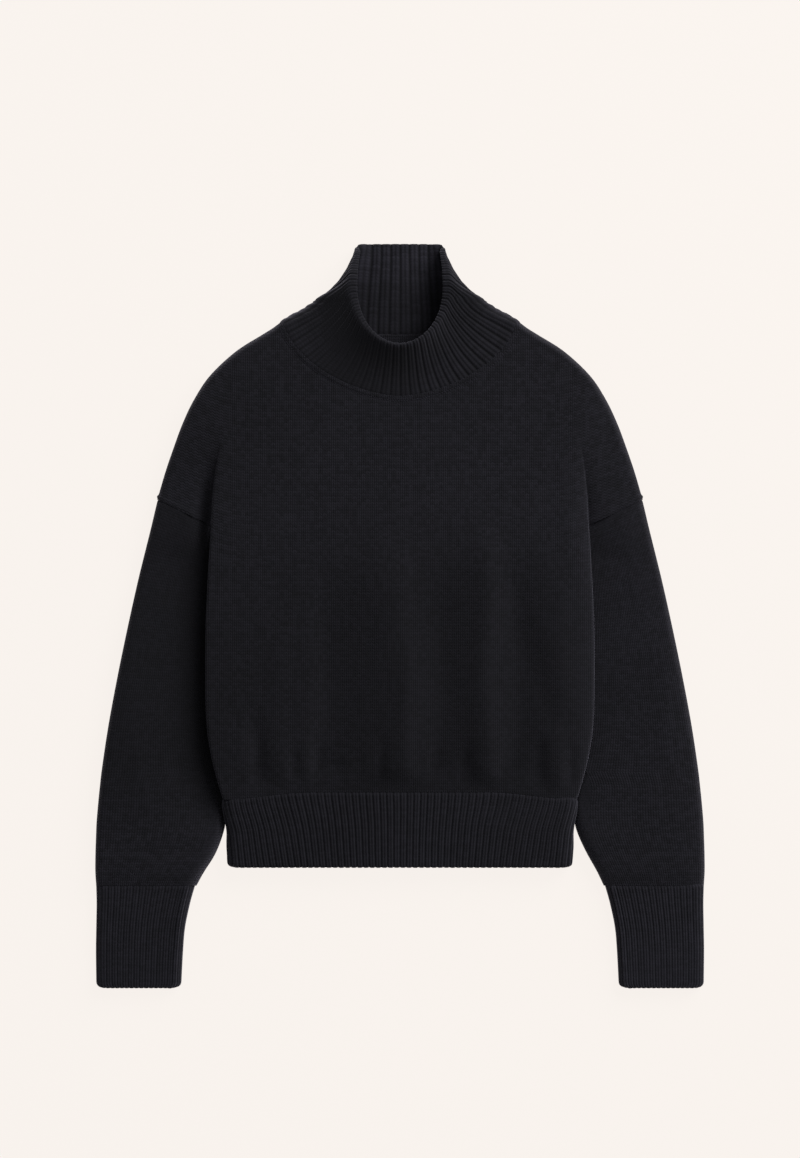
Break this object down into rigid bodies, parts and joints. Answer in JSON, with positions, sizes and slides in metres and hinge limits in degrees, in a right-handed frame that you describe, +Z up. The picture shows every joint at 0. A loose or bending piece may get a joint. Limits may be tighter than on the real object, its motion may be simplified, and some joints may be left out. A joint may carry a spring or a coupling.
{
  "type": "turtleneck sweater",
  "caption": "Relaxed, cropped turtleneck sweater in fine knit, laid flat on its back with a tall ribbed funnel collar, drop shoulders and the sleeves folded down beside the body",
  "frame": {"origin": "middle of the sweater's bounding box in plan, on the surface that the sweater lies on", "axes": "+Y runs from the hem and cuffs up to the collar, +Z is up, out of the front, and +X is to the right for someone who looks down at the front. The sweater is the same on both sides of x = 0, apart from soft creases."},
  "size_m": [0.6404, 0.7812, 0.0465],
  "materials": {
    "plain_knit": "matt fine plain knit wool, dark charcoal",
    "rib_knit": "matt ribbed knit wool, dark charcoal"
  },
  "bodies": {
    "root": {"front": "plain_knit", "back": "plain_knit", "sleeve_left": "plain_knit", "sleeve_right": "plain_knit", "cuff_left": "rib_knit", "cuff_right": "rib_knit", "hem_rib": "rib_knit", "collar": "rib_knit"}
  },
  "joints": []
}
